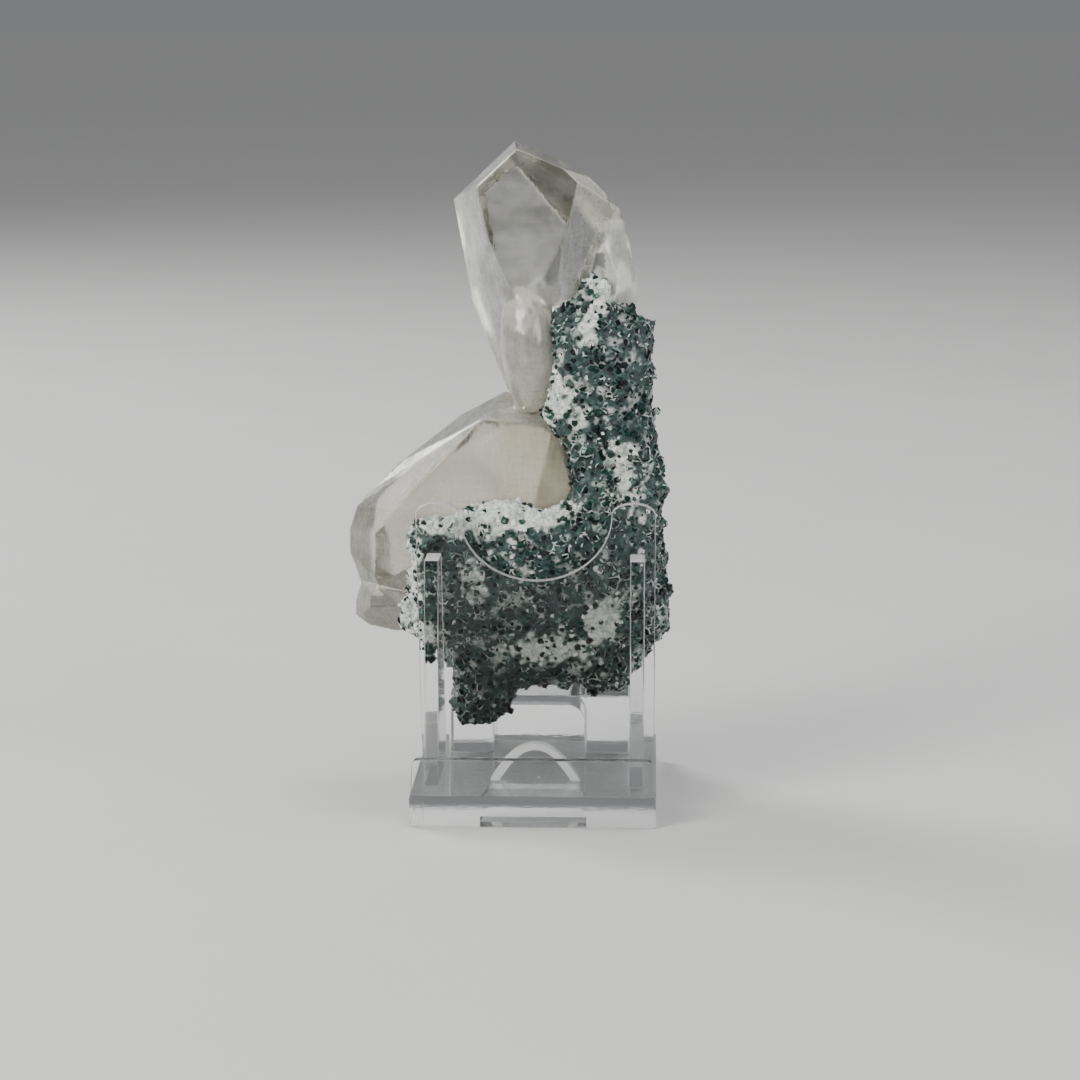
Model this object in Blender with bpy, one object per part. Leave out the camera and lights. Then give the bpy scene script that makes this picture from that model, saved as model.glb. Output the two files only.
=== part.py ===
"""A calcite crystal specimen on its clear moulded stand.

Three water-clear crystals grow together behind and above an L-shaped piece of green and
white matrix. The stand is seen from the side on which its back plate leans out: a base
with a low front wall, a wavy back plate on two fins, and a cradle that carries the stone.
Metres, +Z up, +X to the right, +Y away from the front wall. The origin is the middle of
the base's underside, so the part stands on Z = 0.
"""

import math
import random

import bmesh
import bpy
from mathutils import Matrix, Vector, noise
from mathutils.bvhtree import BVHTree

MM = 0.001
GAP = 0.3 * MM

# Base of the stand
BASE_WIDTH = 54.4 * MM
BASE_DEPTH = 64.0 * MM
SLAB_HEIGHT = 6.5 * MM
WALL_HEIGHT = 15.0 * MM
WALL_THICKNESS = 2.6 * MM
WALL_DRAFT = 0.6 * MM
WALL_CORNER = 1.4 * MM
EDGE_ROUND = 0.35 * MM

# Little bridge that stands on the slab between the wall and the fins
ARCH_Y = -13.0 * MM
ARCH_HALF_WIDTH = 10.1 * MM
ARCH_HEIGHT = 8.2 * MM
ARCH_BAND = 1.3 * MM
ARCH_DEPTH = 3.2 * MM
ARCH_STEPS = 20

# Shallow pocket moulded into the underside
POCKET_BACK_HALF = 10.3 * MM
POCKET_FRONT_HALF = 11.8 * MM
POCKET_FROM_Y = -25.0 * MM
POCKET_TO_Y = -13.0 * MM
POCKET_DEEP = 1.2 * MM

# Back plate, which leans towards the front wall
PLATE_HALF_WIDTH = 26.8 * MM
PLATE_THICKNESS = 2.3 * MM
PLATE_LEAN = math.radians(16.5)
PLATE_FOOT_Y = 4.0 * MM
PLATE_FOOT_CORNER = 1.2 * MM
EAR_Z = 66.8 * MM
EAR_HEIGHT = 2.7 * MM
DIP_HALF_WIDTH = 17.0 * MM
DIP_DEPTH = 15.8 * MM
DIP_STEPS = 28
EAR_STEPS = 12

# Fins that hold the back plate up
FIN_MIDDLE_X = 22.8 * MM
FIN_THICKNESS = 3.2 * MM
FIN_FOOT_Y = -22.4 * MM
FIN_TOP_Y = -20.2 * MM
FIN_TOP_Z = 57.5 * MM

# Cradle under the stone
CRADLE_HALF_WIDTH = 21.0 * MM
CRADLE_TOP = 20.5 * MM
CRADLE_FROM_Y = 12.0 * MM
CRADLE_TO_Y = 30.0 * MM
CRADLE_OPEN_HALF = 10.5 * MM
CRADLE_OPEN_TOP = 18.2 * MM
CRADLE_OPEN_ROUND = 4.0 * MM

# Crystals
FLAT_ANGLE = math.radians(2.5)

# Matrix
MATRIX_CELL = 3.1 * MM
LUMP_SIZE = 9.0 * MM
LUMP_HEIGHT = 1.5 * MM
GRAIN_SIZE = 6.0 * MM
GRAIN_HEIGHT = 0.9 * MM
BLOCK_COUNT = 130
BLOCK_TRIES = 1200
BLOCK_SMALL = 2.2 * MM
BLOCK_LARGE = 4.4 * MM
MATRIX_SEED = 11


def vec(x, y, z):
    """A point given in millimetres."""
    return Vector((x * MM, y * MM, z * MM))


def clear_scene():
    for obj in list(bpy.data.objects):
        bpy.data.objects.remove(obj, do_unlink=True)


def material(name, colour, roughness, transmission=0.0, ior=1.5):
    mat = bpy.data.materials.new(name)
    mat.use_nodes = True
    shader = mat.node_tree.nodes["Principled BSDF"]
    shader.inputs["Base Color"].default_value = (*colour, 1.0)
    shader.inputs["Roughness"].default_value = roughness
    shader.inputs["Metallic"].default_value = 0.0
    shader.inputs["Transmission Weight"].default_value = transmission
    shader.inputs["IOR"].default_value = ior
    return mat


def add_object(name, mesh, mat=None):
    obj = bpy.data.objects.new(name, mesh)
    bpy.context.scene.collection.objects.link(obj)
    if mat:
        mesh.materials.append(mat)
    return obj


def mesh_from(bm, name):
    bmesh.ops.recalc_face_normals(bm, faces=bm.faces)
    mesh = bpy.data.meshes.new(name)
    bm.to_mesh(mesh)
    bm.free()
    return mesh


def as_guide(obj):
    """Marks an object that only shapes another one."""
    obj.hide_render = True
    obj.display_type = "WIRE"
    return obj


def boolean(obj, other, operation, solver="EXACT"):
    modifier = obj.modifiers.new(operation.title(), "BOOLEAN")
    modifier.operation = operation
    modifier.solver = solver
    modifier.object = other
    return modifier


def bevel(obj, width, segments=2):
    modifier = obj.modifiers.new("Rounded edges", "BEVEL")
    modifier.width = width
    modifier.segments = segments
    modifier.limit_method = "ANGLE"
    modifier.angle_limit = math.radians(35)
    return modifier


def frozen(obj):
    """The object's mesh with its modifiers made real."""
    graph = bpy.context.evaluated_depsgraph_get()
    mesh = bpy.data.meshes.new_from_object(obj.evaluated_get(graph))
    obj.modifiers.clear()
    obj.data = mesh
    return obj


def prism(outline, direction):
    """A closed solid: a flat outline of points, pushed along a direction."""
    bm = bmesh.new()
    face = bm.faces.new([bm.verts.new(p) for p in outline])
    grown = bmesh.ops.extrude_face_region(bm, geom=[face])
    moved = [g for g in grown["geom"] if isinstance(g, bmesh.types.BMVert)]
    bmesh.ops.translate(bm, verts=moved, vec=direction)
    return bm


# The stand


def build_base(mat):
    """Slab with a low front wall, drafted as a moulding is, and rounded at its top corners."""
    half = BASE_WIDTH / 2
    front = -BASE_DEPTH / 2
    slab = [
        Vector((-half, front, 0)),
        Vector((half, front, 0)),
        Vector((half, -front, 0)),
        Vector((-half, -front, 0)),
    ]
    base = add_object(
        "stand_base", mesh_from(prism(slab, Vector((0, 0, SLAB_HEIGHT))), "base"), mat
    )

    wall = [Vector((-half, front, 0)), Vector((half, front, 0))]
    for side in (1, -1):
        corner = half - WALL_DRAFT - WALL_CORNER
        turns = [math.radians(a) for a in (0, 30, 60, 90)]
        arc = [
            Vector(
                (
                    side * (corner + WALL_CORNER * math.cos(a)),
                    front,
                    WALL_HEIGHT - WALL_CORNER + WALL_CORNER * math.sin(a),
                )
            )
            for a in turns
        ]
        wall += arc if side > 0 else arc[::-1]
    front_wall = add_object(
        "front_wall", mesh_from(prism(wall, Vector((0, WALL_THICKNESS, 0))), "wall")
    )
    boolean(base, as_guide(front_wall), "UNION")
    bevel(base, EDGE_ROUND)

    boolean(base, as_guide(add_object("arch", arch_mesh())), "UNION")
    pocket = [
        Vector((-POCKET_FRONT_HALF, POCKET_FROM_Y, -MM)),
        Vector((POCKET_FRONT_HALF, POCKET_FROM_Y, -MM)),
        Vector((POCKET_BACK_HALF, POCKET_TO_Y, -MM)),
        Vector((-POCKET_BACK_HALF, POCKET_TO_Y, -MM)),
    ]
    hollow = mesh_from(prism(pocket, Vector((0, 0, MM + POCKET_DEEP))), "pocket")
    boolean(base, as_guide(add_object("pocket", hollow)), "DIFFERENCE")
    return base


def arch_mesh():
    """A bent band that follows a parabola and sinks a little into the slab."""
    foot = SLAB_HEIGHT - 0.8 * MM
    front = ARCH_Y - ARCH_DEPTH / 2

    def curve(half, height):
        for step in range(ARCH_STEPS + 1):
            along = 2 * step / ARCH_STEPS - 1
            rise = height * (1 - along * along)
            yield Vector((along * half, front, SLAB_HEIGHT + rise))

    outer = list(curve(ARCH_HALF_WIDTH, ARCH_HEIGHT))
    inner = list(curve(ARCH_HALF_WIDTH - 1.6 * ARCH_BAND, ARCH_HEIGHT - ARCH_BAND))
    outline = [Vector((outer[0].x, front, foot)), *outer]
    outline += [Vector((outer[-1].x, front, foot)), Vector((inner[-1].x, front, foot))]
    outline += [*inner[::-1], Vector((inner[0].x, front, foot))]
    return mesh_from(prism(outline, Vector((0, ARCH_DEPTH, 0))), "arch")


def plate_front_y(z):
    """Where the back plate's front face is at a height."""
    return PLATE_FOOT_Y - (z - SLAB_HEIGHT) * math.tan(PLATE_LEAN)


def plate_back_y(z):
    return plate_front_y(z) + PLATE_THICKNESS / math.cos(PLATE_LEAN)


def ellipse(middle_x, middle_z, wide, high, start, end, steps):
    """Points on an ellipse from one angle to another, in degrees."""
    for step in range(steps + 1):
        turn = math.radians(start + (end - start) * step / steps)
        yield middle_x + wide * math.cos(turn), middle_z + high * math.sin(turn)


def plate_outline():
    """The wavy plate as seen from the front: two round ears and a deep dip between them."""
    ear_half = (PLATE_HALF_WIDTH - DIP_HALF_WIDTH) / 2
    ear_x = DIP_HALF_WIDTH + ear_half
    low = SLAB_HEIGHT + GAP
    corner = PLATE_FOOT_CORNER
    side = PLATE_HALF_WIDTH - corner
    points = list(ellipse(-side, low + corner, corner, corner, 180, 270, 4))
    points += ellipse(side, low + corner, corner, corner, 270, 360, 4)
    points += ellipse(ear_x, EAR_Z, ear_half, EAR_HEIGHT, 0, 180, EAR_STEPS)
    dip = list(ellipse(0, EAR_Z, DIP_HALF_WIDTH, DIP_DEPTH, 0, -180, DIP_STEPS))
    points += dip[1:-1]
    points += ellipse(-ear_x, EAR_Z, ear_half, EAR_HEIGHT, 0, 180, EAR_STEPS)
    return points


def build_back(mat):
    """The leaning plate and the two fins that stand in front of it."""
    outline = [Vector((x, plate_front_y(z), z)) for x, z in plate_outline()]
    through = Vector((0, PLATE_THICKNESS / math.cos(PLATE_LEAN), 0))
    back = add_object("stand_back", mesh_from(prism(outline, through), "back"), mat)
    bevel(back, EDGE_ROUND)

    low = SLAB_HEIGHT + GAP
    sunk = PLATE_THICKNESS / 2
    for side in (-1, 1):
        x = side * FIN_MIDDLE_X - FIN_THICKNESS / 2
        shape = [
            Vector((x, FIN_FOOT_Y, low)),
            Vector((x, plate_front_y(low) + sunk, low + GAP)),
            Vector((x, plate_front_y(FIN_TOP_Z) + sunk, FIN_TOP_Z)),
            Vector((x, FIN_TOP_Y, FIN_TOP_Z)),
        ]
        mesh = mesh_from(prism(shape, Vector((FIN_THICKNESS, 0, 0))), "fin")
        fin = add_object("fin_left" if side < 0 else "fin_right", mesh)
        bevel(fin, EDGE_ROUND)
        boolean(back, as_guide(fin), "UNION")
    return back


def build_cradle(mat):
    """A small bridge with a round-cornered tunnel, on which the stone's foot rests."""
    low = SLAB_HEIGHT + GAP
    half = CRADLE_OPEN_HALF
    turn = CRADLE_OPEN_ROUND
    middle = CRADLE_OPEN_TOP - turn
    section = [(half, low), (CRADLE_HALF_WIDTH, low), (CRADLE_HALF_WIDTH, CRADLE_TOP)]
    section += [(-CRADLE_HALF_WIDTH, CRADLE_TOP), (-CRADLE_HALF_WIDTH, low), (-half, low)]
    section += ellipse(-half + turn, middle, turn, turn, 180, 90, 6)
    section += ellipse(half - turn, middle, turn, turn, 90, 0, 6)
    outline = [Vector((x, CRADLE_FROM_Y, z)) for x, z in section]
    depth = Vector((0, CRADLE_TO_Y - CRADLE_FROM_Y, 0))
    cradle = add_object("stand_cradle", mesh_from(prism(outline, depth), "cradle"), mat)
    bevel(cradle, EDGE_ROUND)
    return cradle


# The crystals. Each is cut from a block by flat faces, and each face goes through three
# of the crystal's corners. Corners are in millimetres.


def hull_faces(places):
    """The flat faces of the convex shape that has these corners, each as a point and a normal."""
    bm = bmesh.new()
    for place in places:
        bm.verts.new(place)
    bmesh.ops.convex_hull(bm, input=bm.verts)
    bmesh.ops.dissolve_limit(bm, angle_limit=FLAT_ANGLE, verts=bm.verts, edges=bm.edges)
    bm.normal_update()
    faces = [(face.calc_center_median(), face.normal.copy()) for face in bm.faces]
    bm.free()
    return faces


def cut_crystal(corners, faces=None, grow=0.0):
    """A convex crystal from its faces, all of them moved outwards by grow."""
    places = {name: vec(*place) for name, place in corners.items()}
    middle = sum(places.values(), Vector()) / len(places)
    if faces is None:
        planes = hull_faces(places.values())
    else:
        planes = []
        for names in faces:
            a, b, c = (places[name] for name in names.split())
            planes.append((a, (b - a).cross(c - a).normalized()))
    bm = bmesh.new()
    bmesh.ops.create_cube(bm, size=0.4, matrix=Matrix.Translation(middle))
    for point, normal in planes:
        if normal.dot(point - middle) < 0:
            normal = -normal
        cut = bmesh.ops.bisect_plane(
            bm,
            geom=[*bm.verts, *bm.edges, *bm.faces],
            dist=1e-7,
            plane_co=point + normal * grow,
            plane_no=normal,
            clear_outer=True,
        )
        rim = [g for g in cut["geom_cut"] if isinstance(g, bmesh.types.BMEdge)]
        if rim:
            bmesh.ops.contextual_create(bm, geom=rim)
    bmesh.ops.remove_doubles(bm, verts=bm.verts, dist=0.02 * MM)
    bmesh.ops.dissolve_degenerate(bm, dist=0.02 * MM, edges=bm.edges)
    return bm


# Upper crystal: silhouette corners s, front corners f, back corners b
UPPER_CORNERS = {
    "s1": (-5.4, 9, 148.4),
    "s2": (3.4, 9, 144.8),
    "s3": (11.5, 8.5, 140.4),
    "s4": (18.6, 8, 133.6),
    "s5": (20.2, 8, 128.6),
    "s6": (19.5, 10, 104.0),
    "s7": (8.0, 10, 87.0),
    "s8": (-4.0, 9, 87.0),
    "s9": (-7.5, 9, 92.7),
    "s10": (-15.2, 9, 112.7),
    "s11": (-19.3, 9, 135.4),
    "f1": (-13.5, -1.6, 138.2),
    "f2": (-5.9, 0.8, 146.3),
    "f3": (6.2, -2.2, 142.6),
    "f4": (4.2, -4.0, 116.3),
    "f5": (-5.2, -3.0, 113.2),
    "f6": (13.6, 0.4, 136.2),
    "b1": (-12.0, 20.5, 136.0),
    "b2": (4.0, 22.5, 138.0),
    "b3": (13.0, 19.5, 126.0),
    "b4": (-4.0, 21.0, 104.0),
}
UPPER_FACES = [
    "f1 f3 f4",
    "s11 s1 f2",
    "s1 s2 f3",
    "s2 s3 f3",
    "s3 s4 f6",
    "s4 s5 f6",
    "s5 s6 f4",
    "s11 s10 f1",
    "s10 s9 f5",
    "s9 s8 f5",
    "s8 s7 f4",
    "s7 s6 b3",
    "b1 b2 b4",
    "s11 s1 b1",
    "s1 s2 b2",
    "s2 s3 b2",
    "s3 s4 b3",
    "s4 s5 b3",
    "b2 b3 s5",
    "s10 s11 b1",
    "s10 s9 b4",
    "s9 s8 b4",
    "s8 s7 b4",
]

# Rounded shoulder to the right of the upper crystal
SHOULDER_CORNERS = {
    "s1": (16.0, 8, 131.6),
    "s2": (19.5, 8, 127.9),
    "s3": (21.0, 8, 123.4),
    "s4": (23.4, 8, 118.2),
    "s5": (22.7, 8, 112.6),
    "s6": (18.0, 8, 97.0),
    "s7": (5.0, 8, 97.0),
    "s8": (8.0, 8, 125.0),
    "f1": (16.4, 2.4, 126.0),
    "f2": (18.4, 0.6, 116.0),
    "f3": (11.0, 1.0, 110.0),
    "b1": (15.0, 17.0, 122.0),
    "b2": (17.5, 18.0, 110.0),
    "b3": (11.0, 17.5, 104.0),
}
SHOULDER_FACES = [
    "s1 s2 f1",
    "s2 s3 f1",
    "s3 s4 f2",
    "s4 s5 f2",
    "s5 s6 f2",
    "s6 s7 f3",
    "s7 s8 f3",
    "s8 s1 f1",
    "f1 f2 f3",
    "s1 s2 b1",
    "s2 s3 b1",
    "s3 s4 b2",
    "s4 s5 b2",
    "s5 s6 b2",
    "s6 s7 b3",
    "s7 s8 b3",
    "s8 s1 b1",
    "b1 b2 b3",
]

# Pale egg-shaped crystal in front of the neck. Each ring: z, then left and right x, then
# front and back y
MIDDLE_RINGS = [
    (116.0, -4.8, -0.6, -1.6, 3.0),
    (113.6, -7.0, 2.4, -5.4, 6.0),
    (109.0, -8.2, 4.0, -7.6, 8.0),
    (103.5, -8.4, 4.6, -8.6, 8.5),
    (98.0, -7.7, 4.2, -7.8, 8.0),
    (93.0, -6.2, 3.4, -5.2, 7.5),
    (88.0, -4.8, 2.6, -1.8, 6.5),
]
RING_CORNERS = 12


def ring_corners():
    corners = {}
    for z, left, right, front, back in MIDDLE_RINGS:
        for step in range(RING_CORNERS):
            turn = math.tau * step / RING_CORNERS
            x = (left + right) / 2 + (right - left) / 2 * math.cos(turn)
            y = (front + back) / 2 + (back - front) / 2 * math.sin(turn)
            corners[f"z{z}_{step}"] = (x, y, z)
    return corners


# Broad crystal to the lower left, with a striped bevel along its outer edge
BROAD_CORNERS = {
    "s1": (-7.7, 9, 91.7),
    "s2": (-17.6, 9, 86.4),
    "s3": (-31.6, 9, 75.5),
    "s4": (-38.4, 9, 69.0),
    "s5": (-41.9, 9, 65.0),
    "s6": (-43.7, 9, 59.5),
    "s7": (-43.7, 9, 54.5),
    "s8": (-41.3, 9, 47.7),
    "s9": (-33.0, 9, 37.0),
    "s10": (2.0, 9, 43.0),
    "s11": (10.0, 9, 70.0),
    "s12": (3.5, 9, 88.4),
    "f1": (-12.6, -2.9, 86.6),
    "f2": (-18.5, -2.3, 80.0),
    "f3": (-24.8, -1.4, 73.2),
    "f4": (-32.6, -0.4, 65.4),
    "f5": (-37.0, 1.2, 59.6),
    "f6": (-37.0, 2.2, 49.2),
    "e1": (-6.4, -3.9, 86.2),
    "e2": (-6.8, -4.4, 66.0),
    "e3": (-8.0, -2.6, 50.0),
    "r1": (3.4, -2.4, 85.0),
    "r2": (8.6, -2.8, 68.0),
    "r3": (3.0, 0.0, 50.0),
    "b1": (-16.0, 18.0, 79.0),
    "b2": (-34.0, 16.5, 63.0),
    "b3": (-33.0, 17.0, 49.0),
    "b4": (-2.0, 19.5, 65.0),
}

# Small blunt end below the broad crystal
TOE_CORNERS = {
    "s1": (-40.6, 9, 48.8),
    "s2": (-42.4, 9, 42.9),
    "s3": (-42.5, 9, 39.6),
    "s4": (-39.4, 9, 37.1),
    "s5": (-33.0, 9, 35.8),
    "s6": (-22.0, 9, 37.0),
    "s7": (-22.0, 9, 57.0),
    "s8": (-34.0, 9, 59.0),
    "f1": (-38.8, 3.4, 45.0),
    "f2": (-38.6, 3.6, 41.0),
    "f3": (-31.0, 1.4, 43.0),
    "b1": (-38.0, 15.0, 45.0),
    "b2": (-38.0, 14.6, 41.0),
    "b3": (-30.0, 16.4, 44.0),
}
TOE_FACES = [
    "s1 s2 f1",
    "s2 s3 f2",
    "s3 s4 f2",
    "s4 s5 f3",
    "s5 s6 f3",
    "s6 s7 f3",
    "s7 s8 f3",
    "s8 s1 f1",
    "f1 f2 f3",
    "s1 s2 b1",
    "s2 s3 b2",
    "s3 s4 b2",
    "s4 s5 b3",
    "s5 s6 b3",
    "s6 s7 b3",
    "s7 s8 b3",
    "s8 s1 b1",
    "b1 b2 b3",
]

CRYSTALS = [
    ("upper", UPPER_CORNERS, UPPER_FACES),
    ("shoulder", SHOULDER_CORNERS, SHOULDER_FACES),
    ("middle", ring_corners(), None),
    ("broad", BROAD_CORNERS, None),
    ("toe", TOE_CORNERS, TOE_FACES),
]


def joined_crystals(name, grow=0.0):
    """All crystals grown into one solid."""
    first = None
    for title, corners, faces in CRYSTALS:
        mesh = mesh_from(cut_crystal(corners, faces, grow), f"{name}_{title}")
        obj = add_object(name if first is None else f"{name}_{title}", mesh)
        if first is None:
            first = obj
        else:
            boolean(first, as_guide(obj), "UNION")
    return frozen(first)


# The matrix: lumps joined into one body, roughened, with small blocks grown on it

# Each lump: middle x, y, z and half sizes x, y, z, in millimetres
MATRIX_LUMPS = [
    (12.9, 1.5, 112.8, 5.2, 6.6, 8.8),
    (7.8, -0.2, 105.0, 8.4, 7.6, 9.0),
    (17.2, 4.0, 103.0, 9.0, 10.0, 10.0),
    (12.8, 2.0, 95.0, 13.6, 10.6, 13.0),
    (8.6, -0.6, 87.0, 8.4, 7.4, 6.5),
    (16.6, 3.5, 82.0, 11.2, 11.5, 12.0),
    (17.0, 5.0, 70.0, 12.2, 12.5, 12.0),
    (17.0, 8.0, 52.0, 13.0, 14.2, 17.0),
    (21.0, 8.5, 41.5, 10.2, 12.0, 8.5),
    (-2.0, 5.0, 52.5, 16.5, 11.3, 16.2),
    (-16.5, 3.2, 49.5, 14.8, 9.4, 15.6),
    (-21.8, 7.0, 42.0, 11.6, 10.6, 8.8),
    (2.0, 11.0, 38.5, 20.0, 13.0, 15.2),
    (13.0, 13.0, 33.0, 12.6, 13.0, 11.2),
    (-11.0, 12.0, 33.5, 11.6, 12.2, 11.2),
    (-13.0, 7.2, 21.5, 7.6, 4.4, 8.0),
    (-20.5, -2.2, 58.0, 10.6, 5.2, 7.2),
    (-5.0, -3.0, 61.4, 14.0, 6.4, 8.6),
    (8.0, -2.6, 61.4, 9.0, 6.6, 7.8),
]


def lump_mesh(place, size, rng):
    """A blunt block with its corners off, turned a little."""
    bm = bmesh.new()
    bmesh.ops.create_icosphere(bm, subdivisions=2, radius=1.0)
    for vert in bm.verts:
        most = max(abs(c) for c in vert.co)
        vert.co *= 1.0 + 0.42 * (1.0 / most - 1.0)
    turn = Matrix.Rotation(rng.uniform(-0.12, 0.12), 4, "Y")
    scale = Matrix.Diagonal((*size, 1.0))
    bm.transform(Matrix.Translation(place) @ turn @ scale)
    return bm


def cells(point, size):
    """How far a point is from the nearest and the next of scattered seeds, 0 to about 1."""
    distances, _ = noise.voronoi(point / size)
    return distances[0], distances[1]


def roughen(mesh):
    """Pushes lumps and coarse grains out of the surface."""
    bm = bmesh.new()
    bm.from_mesh(mesh)
    bm.normal_update()
    pushes = []
    for vert in bm.verts:
        lump = noise.fractal(vert.co / LUMP_SIZE, 0.6, 2.0, 3)
        near, following = cells(vert.co, GRAIN_SIZE)
        grain = min(1.0, (following - near) * 1.6) - 0.55
        pushes.append(vert.normal * (lump * LUMP_HEIGHT + grain * GRAIN_HEIGHT))
    for vert, push in zip(bm.verts, pushes):
        vert.co += push
    bm.to_mesh(mesh)
    bm.free()


def rhomb(place, normal, size, rng):
    """One blunt calcite block, half buried, with a corner pointing outwards."""
    bm = bmesh.new()
    bmesh.ops.create_cube(bm, size=1.0)
    shear = Matrix.Identity(4)
    shear[0][1] = 0.22
    shear[1][2] = 0.18
    turn = normal.to_track_quat("Z", "Y").to_matrix().to_4x4()
    spin = Matrix.Rotation(rng.uniform(0, math.tau), 4, "Z")
    tip = Matrix.Rotation(rng.uniform(0.25, 0.85), 4, "X")
    stretch = Matrix.Diagonal((1.0, rng.uniform(0.75, 1.2), rng.uniform(0.8, 1.3), 1.0))
    bm.transform(
        Matrix.Translation(place) @ turn @ spin @ tip @ shear @ stretch @ Matrix.Scale(size, 4)
    )
    return bm


def copy_into(target, source):
    """Adds one bmesh to another."""
    made = [target.verts.new(v.co) for v in source.verts]
    source.verts.index_update()
    for face in source.faces:
        target.faces.new([made[v.index] for v in face.verts])
    source.free()


def keep_largest(mesh):
    """Drops crumbs that a cut has parted from the main body."""
    bm = bmesh.new()
    bm.from_mesh(mesh)
    unseen = set(bm.verts)
    islands = []
    while unseen:
        grown = [unseen.pop()]
        island = set(grown)
        while grown:
            vert = grown.pop()
            for edge in vert.link_edges:
                other = edge.other_vert(vert)
                if other in unseen:
                    unseen.discard(other)
                    island.add(other)
                    grown.append(other)
        islands.append(island)
    islands.sort(key=len)
    for island in islands[:-1]:
        bmesh.ops.delete(bm, geom=list(island), context="VERTS")
    bm.to_mesh(mesh)
    bm.free()


def keep_out(name, outline, direction):
    """A cutter that keeps the stone off the stand."""
    return as_guide(add_object(name, mesh_from(prism(outline, direction), name)))


def cut_for_stand(matrix):
    """Makes room for the leaning plate in front and for the cradle below."""
    wide = 60 * MM
    low, high = 0.0, 100 * MM
    plane = [
        Vector((-wide, plate_back_y(low) + GAP, low)),
        Vector((-wide, plate_back_y(high) + GAP, high)),
        Vector((-wide, -2 * wide, high)),
        Vector((-wide, -2 * wide, low)),
    ]
    boolean(matrix, keep_out("plate_room", plane, Vector((2 * wide, 0, 0))), "DIFFERENCE")
    top = CRADLE_TOP + GAP
    front = CRADLE_FROM_Y - GAP
    room = [
        Vector((-wide, front, low)),
        Vector((-wide, front, top)),
        Vector((-wide, 2 * wide, top)),
        Vector((-wide, 2 * wide, low)),
    ]
    boolean(matrix, keep_out("cradle_room", room, Vector((2 * wide, 0, 0))), "DIFFERENCE")
    return frozen(matrix)


def clear_of_neighbours(bm, crystals):
    """Whether a block stays off the plate, the cradle and the crystals."""
    middles = [(e.verts[0].co + e.verts[1].co) / 2 for e in bm.edges]
    for point in [v.co for v in bm.verts] + middles:
        if point.y < plate_back_y(point.z) + 2 * GAP:
            return False
        if point.z < CRADLE_TOP + 2 * GAP and point.y > CRADLE_FROM_Y - 2 * GAP:
            return False
        nearest, normal, _, _ = crystals.find_nearest(point)
        if (point - nearest).dot(normal) < GAP / 2:
            return False
    return True


def block_druse(matrix, crystals, rng):
    """Blunt blocks scattered over the matrix, half buried in it, none touching another."""
    blocks = bmesh.new()
    faces = list(matrix.data.polygons)
    placed = []
    for _ in range(BLOCK_TRIES):
        face = rng.choice(faces)
        size = rng.uniform(BLOCK_SMALL, BLOCK_LARGE)
        place = face.center - face.normal * size * 0.15
        block = rhomb(place, face.normal, size, rng)
        apart = all((place - other).length > 0.95 * (size + wide) for other, wide in placed)
        if len(placed) < BLOCK_COUNT and apart and clear_of_neighbours(block, crystals):
            copy_into(blocks, block)
            placed.append((place, size))
        else:
            block.free()
    return as_guide(add_object("blocks", mesh_from(blocks, "blocks")))


def build_matrix(mat):
    """Lumps fused by a remesh, roughened, cut clear of its neighbours, with blocks on it."""
    rng = random.Random(MATRIX_SEED)
    body = bmesh.new()
    for x, y, z, wide, deep, high in MATRIX_LUMPS:
        copy_into(body, lump_mesh(vec(x, y, z), vec(wide, deep, high), rng))
    matrix = add_object("matrix", mesh_from(body, "matrix"))
    fuse = matrix.modifiers.new("Fuse", "REMESH")
    fuse.mode = "VOXEL"
    fuse.voxel_size = MATRIX_CELL
    frozen(matrix)
    roughen(matrix.data)
    cut_for_stand(matrix)
    crystals = as_guide(joined_crystals("crystal_room", GAP))
    boolean(matrix, crystals, "DIFFERENCE")
    frozen(matrix)
    keep_largest(matrix.data)
    tree = BVHTree.FromObject(crystals, bpy.context.evaluated_depsgraph_get())
    boolean(matrix, block_druse(matrix, tree, rng), "UNION", "MANIFOLD")
    frozen(matrix)
    matrix.data.materials.clear()
    matrix.data.materials.append(mat)
    return matrix


def main():
    clear_scene()
    acrylic = material("clear_plastic", (0.95, 0.96, 0.97), 0.03, 1.0, 1.49)
    calcite = material("calcite", (0.92, 0.90, 0.84), 0.08, 0.9, 1.60)
    stone = material("green_matrix", (0.10, 0.19, 0.16), 0.6)
    build_base(acrylic)
    build_back(acrylic)
    build_cradle(acrylic)
    crystals = joined_crystals("calcite_crystals")
    crystals.data.materials.clear()
    crystals.data.materials.append(calcite)
    build_matrix(stone)


main()
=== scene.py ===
# %% [markdown]
# # A calcite specimen on its clear stand
# The real thing is a hand-sized mineral specimen: water-clear calcite crystals that grew
# on a mass of green and white grains, propped on a small moulded easel of clear plastic.
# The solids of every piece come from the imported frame. This lesson gives them their looks.

# %% Load the frame
import math

import bmesh
import bpy
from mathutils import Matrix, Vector, noise


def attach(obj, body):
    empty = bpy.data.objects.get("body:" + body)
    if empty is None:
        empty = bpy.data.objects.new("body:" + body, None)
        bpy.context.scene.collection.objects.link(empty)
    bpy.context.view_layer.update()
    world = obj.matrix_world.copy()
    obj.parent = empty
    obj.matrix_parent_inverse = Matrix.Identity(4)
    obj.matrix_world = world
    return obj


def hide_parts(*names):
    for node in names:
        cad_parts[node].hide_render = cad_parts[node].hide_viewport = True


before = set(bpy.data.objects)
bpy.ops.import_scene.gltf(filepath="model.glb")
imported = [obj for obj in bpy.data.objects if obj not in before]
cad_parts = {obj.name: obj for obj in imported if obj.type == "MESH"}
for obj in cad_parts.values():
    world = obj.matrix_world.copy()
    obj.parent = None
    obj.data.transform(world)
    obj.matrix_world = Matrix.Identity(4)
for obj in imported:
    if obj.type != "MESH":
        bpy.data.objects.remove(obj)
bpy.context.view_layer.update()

MM = 0.001
print("solids:", sorted(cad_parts))

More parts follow.
